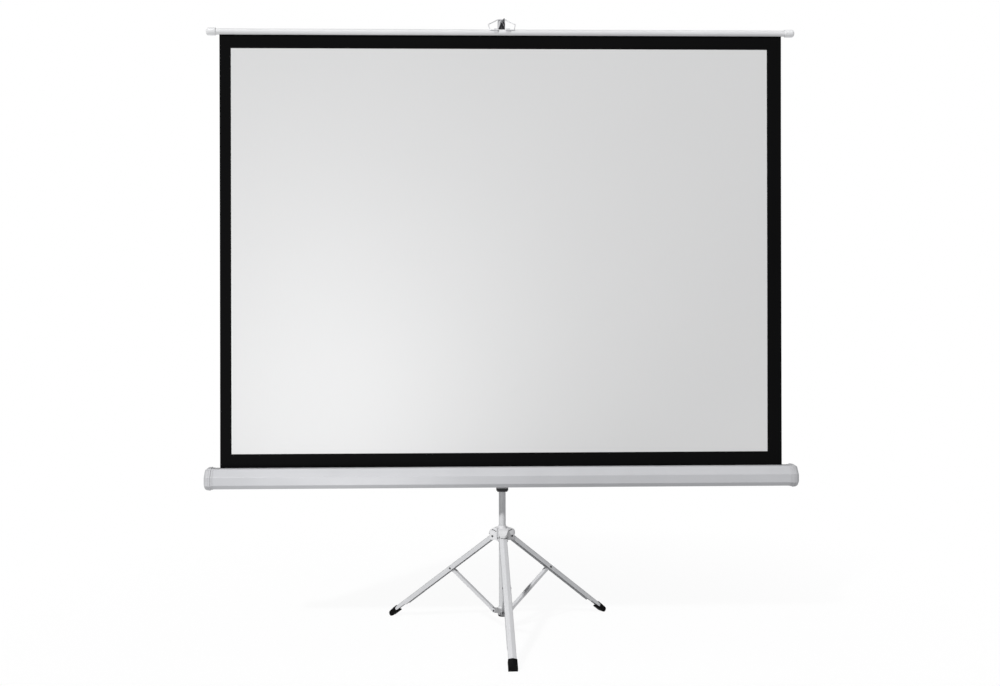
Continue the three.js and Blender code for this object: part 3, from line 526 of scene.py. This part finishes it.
def case_outline():
    """Folded sheet with rounded bends, open along the top, its lips turned down beside the cloth."""
    outer = fillet([(6, 30.9), (-15, 31), (-36, 8), (-36, -18), (-23, -31), (23, -31), (36, -18), (36, 8), (15, 31), (15.8, 31)],
                   [0, 3.2, 4.0, 3.6, 3.6, 3.6, 3.6, 4.0, 0.3, 0], 6)
    outer = [p for p in outer if not (p[0] > 5.9 and p[0] < 14 and p[1] > 30.7)]
    front = [(5.9, 31.0), (6.0, 30.7), (6.0, 26.3), (5.1, 26.3), (5.1, 29.9)]
    back = [(15.85, 31.0), (15.85, 26.4), (16.7, 26.4), (16.7, 29.4)]
    inner = fillet([(-14.55, 30.0), (-35.0, 7.6), (-35.0, -17.6), (-22.6, -30.0), (22.6, -30.0), (35.0, -17.6), (35.0, 7.6), (16.7, 28.0)],
                   [2.2, 3.0, 2.6, 2.6, 2.6, 2.6, 3.0, 0], 6)
    # once round the outside from the front lip to the back lip, and back along the inside
    ring = [front[1], front[0]] + [p for p in outer if not (p[0] > 14.9 and p[1] > 30.6)] + [(15.0, 31.0)] + back + list(reversed(inner))
    ring += [(5.1, 29.9)] + [front[3], front[2]]
    return to_case(ring)


extrude_x("case_sheet", case_outline(), -920, 920, ["case_shell"], steps=4, sharp=25.0)


def end_cap(side, sg):
    rows = [(0.5, 908.0), (0.85, 908.05), (1.05, 908.4), (1.1, 909.2), (1.25, 914.4), (1.6, 914.7), (2.6, 914.8), (3.0, 915.1), (3.15, 915.8), (3.15, 919.6), (2.95, 920.4),
            (2.3, 920.7), (2.1, 921.1), (2.3, 921.5), (2.65, 921.9), (2.55, 923.6), (2.1, 926.0), (1.2, 928.4), (-0.1, 930.6), (-1.8, 932.6), (-4.0, 934.2), (-6.8, 935.2), (-9.8, 935.8), (-15.2, 936.0)]
    verts, faces = [], []
    n = 0
    for off, x in rows:
        r = max(0.7, 3.4 + off * 0.2)
        ring = fillet(to_case(offset(RIM, off)), [r] * 8, 5)
        n = len(ring)
        verts += [P(x * sg, y, z) for y, z in ring]
    for s in range(len(rows) - 1):
        for i in range(n):
            j = (i + 1) % n
            faces.append((s * n + i, s * n + j, (s + 1) * n + j, (s + 1) * n + i))
    faces.append(tuple((len(rows) - 1) * n + i for i in range(n)))
    # recess for the end of the sheet: a flat ring inwards, then a floor at the sheet's end
    inner = [(0.45, 908.0), (0.35, 908.4), (0.35, 920.2), (-3.0, 920.2)]
    start = len(verts)
    for off, x in inner:
        ring = fillet(to_case(offset(RIM, off)), [max(0.7, 3.4 + off * 0.2)] * 8, 5)
        verts += [P(x * sg, y, z) for y, z in ring]
    for s in range(len(inner) - 1):
        for i in range(n):
            j = (i + 1) % n
            faces.append((start + s * n + i, start + s * n + j, start + (s + 1) * n + j, start + (s + 1) * n + i))
    for i in range(n):
        j = (i + 1) % n
        faces.append((i, j, start + j, start + i))
    faces.append(tuple(start + (len(inner) - 1) * n + i for i in range(n)))
    build(f"case_cap_{side}", verts, faces, [f"case_end_cap_{side}"], sharp=40.0)


end_cap("left", -1)
end_cap("right", 1)

# ------------------------------------------------------------------ top bar
FAB_Y, BAR_Z, BAR_R = -50.0, 1911.5, 9.7
half_out, half_in = math.degrees(math.asin(1.7 / 9.7)), math.degrees(math.asin(1.7 / 8.5))
bar = arc(FAB_Y, BAR_Z, 9.7, -90 + half_out, 270 - half_out, 60)
bar += [(FAB_Y - 1.45, BAR_Z - 9.3), (FAB_Y - 1.5, BAR_Z - 8.7)]
bar += arc(FAB_Y, BAR_Z, 8.5, 270 - half_in - 0.6, -90 + half_in + 0.6, 48)
bar += [(FAB_Y + 1.5, BAR_Z - 8.7), (FAB_Y + 1.45, BAR_Z - 9.3)]
extrude_x("top_bar_tube", bar, -905, 905, ["top_bar"], steps=4, sharp=40.0)
for side, sg in (("left", -1), ("right", 1)):
    o = 905
    prof = [(0, o - 21.6), (6.6, o - 21.6), (7.6, o - 21.0), (8.0, o - 19.8), (8.0, o + 0.4), (10.2, o + 0.4), (10.2, o - 1.4), (10.8, o - 1.8), (11.6, o - 1.8),
            (12.2, o - 1.3), (12.4, o - 0.5), (12.4, o + 2.6), (12.2, o + 3.0), (11.75, o + 3.2), (11.6, o + 3.6), (11.75, o + 4.0), (12.2, o + 4.2), (12.4, o + 4.6),
            (12.4, o + 18.6), (12.3, o + 20.6), (12.0, o + 22.6), (11.3, o + 24.4), (10.2, o + 25.9), (8.4, o + 27.1), (6.0, o + 27.9), (3.2, o + 28.4), (0, o + 28.55)]
    lathe(f"bar_cap_{side}", prof, P(0, FAB_Y, BAR_Z), (sg, 0, 0), [f"top_bar_cap_{side}"], seg=56, sharp=42.0)

# ------------------------------------------------------------------ bail
BAIL_Y, BAIL_Z, BAIL_LEN = -60.2, 1918.3, 62.7
lean = math.atan2(46.2, 42.4)
half = [(11, 0), (24, 0), (37.6, 0), (38.9, 1.6), (42.7, 29.4), (42.5, 32.4), (40.6, 34.5), (13.6, 60.4), (10.6, 62.2), (6, BAIL_LEN)]
bend = lambda x, w: (x, BAIL_Y + w * math.sin(lean), BAIL_Z + w * math.cos(lean))
route = [bend(-x, w) for x, w in half] + [bend(x, w) for x, w in reversed(half)]
wire("bail_wire_loop", smooth_path(route, 3.6, 5), 1.6, ["bail"], sides=16, sharp=60.0)

# ------------------------------------------------------------------ tubes
def open_tube(name, node, r, ri, z0, z1, seg=64):
    c = 0.25
    prof = [(ri, z0 + c), (ri + c, z0), (r - c, z0), (r, z0 + c), (r, z1 - c), (r - c, z1), (ri + c, z1), (ri, z1 - c)]
    return lathe(name, prof, P(0, 0, 0), (0, 0, 1), [node], seg=seg, closed=True, sharp=30.0)


open_tube("mast_outer_tube", "mast_tube", 11.0, 9.8, 52, 1082)
open_tube("extension_rod", "extension_tube", 9.2, 8.0, 1000, 1944)

# ------------------------------------------------------------------ rivets
def rivet(name, node, at, axis, length, r, head, t):
    h = length / 2
    prof = [(0, -h - t * 0.55), (r * 0.55, -h - t * 0.55), (r * 0.72, -h - t * 0.9), (head * 0.62, -h - t), (head * 0.88, -h - t * 0.75), (head, -h - t * 0.3), (head * 0.985, -h),
            (r, -h), (r, h), (head * 0.985, h), (head, h + t * 0.22), (head * 0.94, h + t * 0.5), (head * 0.78, h + t * 0.78), (head * 0.52, h + t * 0.95),
            (head * 0.24, h + t), (0, h + t)]
    o = lathe(name, prof, at, axis, [node], seg=28, sharp=50.0)
    # the rolled end is a shallow hollow, and its whole end face is painted near-black: painted shade standing in for a
    # deep hole. The other end is a domed head
    o.data.materials.append(M["rivet_end_shade"])
    for poly in o.data.polygons:
        v = poly.center - at
        d = v.dot(Vector(axis))
        if d < -h / 1000 and (v - Vector(axis) * d).length < 1.01 * head / 1000:
            poly.material_index = 1
    return o


HUB_Z, COLLAR_Z, LINK, PIVOT_R = 303.0, 61.0, 198.2, 28.0
phi = math.acos((HUB_Z - COLLAR_Z) / 2 / LINK)
for a, az in LEG_AZ.items():
    c, s = math.cos(math.radians(az)), math.sin(math.radians(az))
    t = (-s, c, 0)
    rb = PIVOT_R + LINK * math.sin(phi)
    rivet(f"hub_rivet_{a}", f"hub_pin_{a}", P(PIVOT_R * c, PIVOT_R * s, HUB_Z), t, 31.0, 2.3, 3.4, 1.4)
    rivet(f"leg_rivet_{a}", f"leg_pin_{a}", P(rb * c, rb * s, 182.0), t, 25.1, 2.3, 3.3, 1.3)
    rivet(f"collar_rivet_{a}", f"collar_pin_{a}", P(PIVOT_R * c, PIVOT_R * s, COLLAR_Z), t, 14.8, 2.3, 3.4, 1.3)
rivet("lock_rivet", "extension_lock_pin", P(0, 25, 1096), (1, 0, 0), 26.2, 2.2, 3.8, 1.4)
rivet("trigger_rivet", "trigger_pin", P(0, 24, 527), (1, 0, 0), 26.8, 2.1, 3.6, 1.3)

# ------------------------------------------------------------------ pieces that keep their CAD shape, with rounded edges
for a in LEG_AZ:
    refine(f"leg_{a}", 0.45, 2, 24)
    refine(f"brace_{a}", 0.35, 2, 30)
    refine(f"foot_{a}", 1.0, 3, 26, sharp=50)
refine("hub", 0.7, 3, 30, sharp=45)
refine("lower_collar", 0.6, 3, 30, sharp=45)
refine("mast_bottom_plug", 0.4)
refine("mast_stop_ring", 0.4)
refine("mast_top_collar", 0.7, 3, 30)
refine("extension_lock_lever", 1.0, 3, 30)
refine("extension_bush", 0.3)
refine("hook_head", 1.0, 3, 24)
hook_piece = refine("hook", 0.5, 2, 34, sharp=45)
# the upper end of the hook plate, under the screw, is bare steel; the body and the prong are black
hook_piece.data.materials.append(M["zinc_steel"])
for poly in hook_piece.data.polygons:
    c = poly.center
    if c.z > 1.9432 and c.y - MY > -0.0171 and abs(c.x) < 0.0052:
        poly.material_index = 1
refine("hook_screw", 0.25, 2)
refine("fabric_spline", 0.3, 2, 40)
for side in ("left", "right"):
    refine(f"bail_clip_{side}", 0.4, 2, 34)
    refine(f"bracket_screw_{side}", 0.3, 2, 34)
    refine(f"roller_plug_{side}", 0.5, 2, 34)
refine("carriage", 0.8, 3, 30)
refine("carriage_trigger", 1.2, 3, 30)
refine("carry_handle", 1.4, 3, 30)
refine("pivot_washer", 0.3)
refine("case_bracket", 0.3)
refine("pivot_bolt", 0.4)
refine("spring_shaft", 0.3)
refine("idle_pin", 0.3)

# ------------------------------------------------------------------ small details of the tripod and the carriage
def prism(name, outline, frame_of, d0, d1, nodes, **kw):
    """Outline swept from d0 to d1; frame_of turns (a, b, depth) into a point in mm from the mast axis."""
    n = len(outline)
    verts = [P(*frame_of(a, b, d0)) for a, b in outline] + [P(*frame_of(a, b, d1)) for a, b in outline]
    faces = [tuple(range(n)), tuple(range(n, 2 * n))] + [(i, (i + 1) % n, n + (i + 1) % n, n + i) for i in range(n)]
    return build(name, verts, faces, nodes, **kw)


def ring_z(name, outer, inner, z0, z1, nodes, **kw):
    """A flat ring between two outlines with the same number of points."""
    n = len(outer)
    verts = [P(x, y, z) for z in (z0, z1) for loop in (outer, inner) for x, y in loop]
    faces = []
    for i in range(n):
        j = (i + 1) % n
        faces += [(i, j, n + j, n + i), (2 * n + i, 3 * n + i, 3 * n + j, 2 * n + j), (i, 2 * n + i, 2 * n + j, j), (n + i, n + j, 3 * n + j, 3 * n + i)]
    return build(name, verts, faces, nodes, **kw)


beta = math.pi / 2 - phi
for a, az in LEG_AZ.items():
    ca, sa = math.cos(math.radians(az)), math.sin(math.radians(az))

    def radial(x, z, u, ca=ca, sa=sa):
        return (x * ca - u * sa, x * sa + u * ca, z)

    def on_leg(u, v, s, radial=radial):
        return radial(PIVOT_R + s * math.cos(beta) + v * math.sin(beta), HUB_Z - s * math.sin(beta) + v * math.cos(beta), u)

    # folded lower edge of each side wall, coloured dark grey: painted shade along the lower edge of the leg
    for k, sg in (("a", 1), ("b", -1)):
        edge = [(11.4 * sg, -8.25), (12.3 * sg, -8.25), (12.5 * sg, -8.0), (12.5 * sg, -7.0), (12.2 * sg, -6.7), (11.4 * sg, -6.7)]
        prism(f"leg_edge_{a}_{k}", edge, on_leg, 14.0, 412.0, [f"leg_{a}"], material="lower_edge_shade", sharp=40.0)
    # a near-black strip on the floor of the curved groove in each cheek of the hub: painted shade in the groove
    curve = arc(PIVOT_R + 1, HUB_Z + 0.5, 21.3, 88.5, 133.5, 10) + arc(PIVOT_R + 1, HUB_Z + 0.5, 18.7, 133.5, 88.5, 10)
    for k, u0, u1 in (("a", 12.4, 13.4), ("b", -13.4, -12.4)):
        prism(f"hub_groove_{a}_{k}", curve, radial, u0, u1, ["hub"], material="dark_plastic", sharp=40.0)


def round_rect(x0, x1, y0, y1, r):
    return arc(x1 - r, y0 + r, r, -90, 0, 6) + arc(x1 - r, y1 - r, r, 0, 90, 6) + arc(x0 + r, y1 - r, r, 90, 180, 6) + arc(x0 + r, y0 + r, r, 180, 270, 6)


ring_z("carriage_ring", round_rect(-18.0, 18.0, -17.0, 16.5, 6.5), round_rect(-16.0, 16.0, -15.0, 14.5, 5.0), 458.7, 460.8, ["carriage"], material="ring_plastic")

# ------------------------------------------------------------------ inside the case
ROLL_Y, ROLL_Z = -72.0, 501.0
lathe("roller_tube_body", [(17.8, -895.7), (18.1, -896), (18.7, -896), (19, -895.7), (19, 895.7), (18.7, 896), (18.1, 896), (17.8, 895.7)],
      P(0, ROLL_Y, ROLL_Z), (1, 0, 0), ["roller_tube"], seg=56, closed=True, sharp=30.0)
helix = []
turns = 34
for i in range(turns * 14 + 1):
    a = 2 * math.pi * i / 14
    helix.append((-855 + 254 * i / (turns * 14), ROLL_Y + 9.2 * math.cos(a), ROLL_Z + 9.2 * math.sin(a)))
wire("roller_coil_spring", helix, 1.3, ["roller_spring"], sides=8, sharp=60.0)

# the cloth that stays wound on the roller: one strip, spiralling out to where the screen leaves it
W2, TURNS = 892.0, 2.25
spiral_out, spiral_in = [], []
steps = 90
for i in range(steps + 1):
    f = i / steps
    a = math.radians(0.0 - 360.0 * TURNS * (1 - f))
    r = 19.55 + 0.70 * TURNS * f
    spiral_out.append((ROLL_Y + (r + 0.22) * math.cos(a), ROLL_Z + (r + 0.22) * math.sin(a)))
    spiral_in.append((ROLL_Y + (r - 0.22) * math.cos(a), ROLL_Z + (r - 0.22) * math.sin(a)))
spiral = spiral_out + list(reversed(spiral_in))


def spiral_uv(o):
    uv = o.data.uv_layers.new(name="cloth")
    for loop in o.data.loops:
        co = o.data.vertices[loop.vertex_index].co
        uv.data[loop.index].uv = (co.x, math.atan2(co.z - ROLL_Z / 1000, co.y - (ROLL_Y / 1000 + MY)) * 0.0204)


roll = extrude_x("cloth_on_roller", spiral, -W2, W2, ["wound_fabric"], steps=6, material="cloth_border", sharp=40.0, weighted=False)
spiral_uv(roll)

# ------------------------------------------------------------------ screen cloth
Z_ROLL, Z_SPLIT, Z_BAND, Z_TOP = 503.0, 1380.0, 1859.0, 1908.3
PIC_XL, PIC_XR, PIC_Z0, PIC_Z1 = -856.0, 846.0, 578.0, 1859.0


def lie(x, z):
    """Where the stretched cloth lies in y, mm from the mast axis: its side edges curl back a little."""
    up = math.sin(math.pi * min(1.0, max(0.0, (z - 535.0) / (1900.0 - 535.0))))
    edge = max(0.0, (abs(x) - 840.0) / 52.0)
    wave = 0.5 * math.cos(x / 1784.0 * 2 * math.pi * 2.0) * math.sin(z / 1405.0 * 2 * math.pi)
    return FAB_Y + up * (1.9 * edge * edge + wave)


def screen_piece(name, z0, z1, rows, nodes, body):
    """A thin closed sheet. The picture side is white with a black border, the back is black."""
    xs = sorted({-W2, W2, -888.0, 888.0, -880.0, 880.0, -868.0, 868.0, 857.0} | {PIC_XL + (PIC_XR - PIC_XL) * i / 30 for i in range(31)})
    zs = sorted({z0, z1} | {z0 + (z1 - z0) * i / rows for i in range(rows + 1)} | ({PIC_Z0} if z0 < PIC_Z0 < z1 else set()))
    t = 0.25
    nx, nz = len(xs), len(zs)
    verts = [P(x, lie(x, z) - t, z) for z in zs for x in xs] + [P(x, lie(x, z) + t, z) for z in zs for x in xs]
    faces, fm = [], []
    back = nx * nz
    for k in range(nz - 1):
        for i in range(nx - 1):
            a, b, c, d = k * nx + i, k * nx + i + 1, (k + 1) * nx + i + 1, (k + 1) * nx + i
            mx, mz = (xs[i] + xs[i + 1]) / 2, (zs[k] + zs[k + 1]) / 2
            white = PIC_XL < mx < PIC_XR and PIC_Z0 < mz < PIC_Z1
            faces.append((a, b, c, d))
            fm.append(0 if white else 1)
            faces.append((back + d, back + c, back + b, back + a))
            fm.append(2)
    rim = [i for i in range(nx)] + [k * nx + nx - 1 for k in range(1, nz)] + [(nz - 1) * nx + i for i in range(nx - 2, -1, -1)] + [k * nx for k in range(nz - 2, 0, -1)]
    for a, b in zip(rim, rim[1:] + rim[:1]):
        faces.append((a, back + a, back + b, b))
        fm.append(1)
    o = build(name, verts, faces, nodes, material="cloth_white", body=body, sharp=40.0, weighted=False, face_mats=fm, mats=["cloth_white", "cloth_border", "cloth_back"])
    uv = o.data.uv_layers.new(name="cloth")
    for loop in o.data.loops:
        co = o.data.vertices[loop.vertex_index].co
        uv.data[loop.index].uv = (co.x, co.z)
    return o


lower = screen_piece("cloth_lower", Z_ROLL, Z_SPLIT, 22, ["screen_fabric_lower"], "case")
middle = screen_piece("cloth_upper", Z_SPLIT, Z_BAND, 12, ["screen_fabric_upper"], "extension")
band = screen_piece("cloth_top_band", Z_BAND, Z_TOP, 2, ["screen_fabric_upper"], "extension")
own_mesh(lower)
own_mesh(middle)

# ------------------------------------------------------------------ floor, light and camera
floor_me = bpy.data.meshes.new("floor_disc")
ring_n, radii = 64, [0.0, 0.5, 1.0, 1.6, 2.4, 3.4]
fv, ff = [(0, 0, 0)], []
for r in radii[1:]:
    fv += [(r * math.cos(2 * math.pi * k / ring_n), r * math.sin(2 * math.pi * k / ring_n), 0) for k in range(ring_n)]
for k in range(ring_n):
    ff.append((0, 1 + k, 1 + (k + 1) % ring_n))
for s in range(len(radii) - 2):
    for k in range(ring_n):
        j = (k + 1) % ring_n
        ff.append((1 + s * ring_n + k, 1 + (s + 1) * ring_n + k, 1 + (s + 1) * ring_n + j, 1 + s * ring_n + j))
floor_me.from_pydata(fv, [], ff)
floor = bpy.data.objects.new("floor_disc", floor_me)
floor.location = (0, 0, -0.0006)
COL.objects.link(floor)
fm_ = bpy.data.materials.new("pale_floor")
fm_.use_nodes = True
ft = fm_.node_tree
ft.nodes.clear()
fo = ft.nodes.new("ShaderNodeOutputMaterial")
fd = ft.nodes.new("ShaderNodeBsdfDiffuse")
fd.inputs["Color"].default_value = (0.92, 0.92, 0.92, 1)
ftr = ft.nodes.new("ShaderNodeBsdfTransparent")
fmix = ft.nodes.new("ShaderNodeMixShader")
ftc = ft.nodes.new("ShaderNodeTexCoord")
flen = ft.nodes.new("ShaderNodeVectorMath")
flen.operation = "LENGTH"
frange = ft.nodes.new("ShaderNodeMapRange")
frange.interpolation_type = "SMOOTHSTEP"
for k, v in zip(("From Min", "From Max", "To Min", "To Max"), (0.35, 2.2, 0.055, 0.0)):
    frange.inputs[k].default_value = v
ft.links.new(ftc.outputs["Object"], flen.inputs[0])
ft.links.new(flen.outputs["Value"], frange.inputs["Value"])
ft.links.new(frange.outputs[0], fmix.inputs[0])
ft.links.new(ftr.outputs[0], fmix.inputs[1])
ft.links.new(fd.outputs[0], fmix.inputs[2])
ft.links.new(fmix.outputs[0], fo.inputs[0])
floor_me.materials.append(fm_)

world = bpy.data.worlds.new("studio")
bpy.context.scene.world = world
world.use_nodes = True
wt = world.node_tree
wt.nodes.clear()
wo = wt.nodes.new("ShaderNodeOutputWorld")
wc = wt.nodes.new("ShaderNodeTexCoord")
ws = wt.nodes.new("ShaderNodeSeparateXYZ")
wr = wt.nodes.new("ShaderNodeMapRange")
wr.interpolation_type = "SMOOTHSTEP"
for k, v in zip(("From Min", "From Max", "To Min", "To Max"), (-0.45, 0.36, 0.68, 0.22)):
    wr.inputs[k].default_value = v
wl = wt.nodes.new("ShaderNodeLightPath")
wb = wt.nodes.new("ShaderNodeBackground")
ww = wt.nodes.new("ShaderNodeBackground")
ww.inputs["Strength"].default_value = 1.0
ww.inputs["Color"].default_value = (1, 1, 1, 1)
wb.inputs["Color"].default_value = (0.985, 0.99, 1.0, 1)
wm = wt.nodes.new("ShaderNodeMixShader")
wt.links.new(wc.outputs["Generated"], ws.inputs[0])
wt.links.new(ws.outputs[2], wr.inputs["Value"])
wt.links.new(wr.outputs[0], wb.inputs["Strength"])
wt.links.new(wl.outputs["Is Camera Ray"], wm.inputs[0])
wt.links.new(wb.outputs[0], wm.inputs[1])
wt.links.new(ww.outputs[0], wm.inputs[2])
wt.links.new(wm.outputs[0], wo.inputs[0])


def aim(o, target):
    o.rotation_euler = (Vector(target) - o.location).to_track_quat("-Z", "Y").to_euler()


key_data = bpy.data.lights.new("key", "SUN")
key_data.energy = 2.86
key_data.angle = math.radians(3.5)
key = bpy.data.objects.new("key", key_data)
key.location = (-2.2, -3.0, 3.4)
aim(key, Vector(key.location) + Vector((0.387, 0.570, -0.7245)))
COL.objects.link(key)

wash_data = bpy.data.lights.new("wash", "AREA")
wash_data.shape = "DISK"
wash_data.size = 0.5
wash_data.energy = 2.84
wash_data.spread = math.radians(107)
wash = bpy.data.objects.new("wash", wash_data)
wash.location = (-0.513, -1.0, 0.219)
aim(wash, (-0.683, MY - 0.05, 1.463))
wash.visible_camera = False
COL.objects.link(wash)

cam_data = bpy.data.cameras.new("camera")
cam_data.sensor_width = 36.0
cam_data.lens = 42.91
cam_data.shift_x = 0.0127
cam_data.shift_y = -0.0597
cam_data.clip_start, cam_data.clip_end = 0.05, 60
cam = bpy.data.objects.new("camera", cam_data)
cam.location = (-0.151, -3.831 + MY, 1.1157)
cam.rotation_euler = (math.radians(90), math.radians(0.11), math.radians(-1.56))
COL.objects.link(cam)
bpy.context.scene.camera = cam
bpy.context.scene.view_settings.view_transform = "Standard"
bpy.context.scene.view_settings.look = "None"
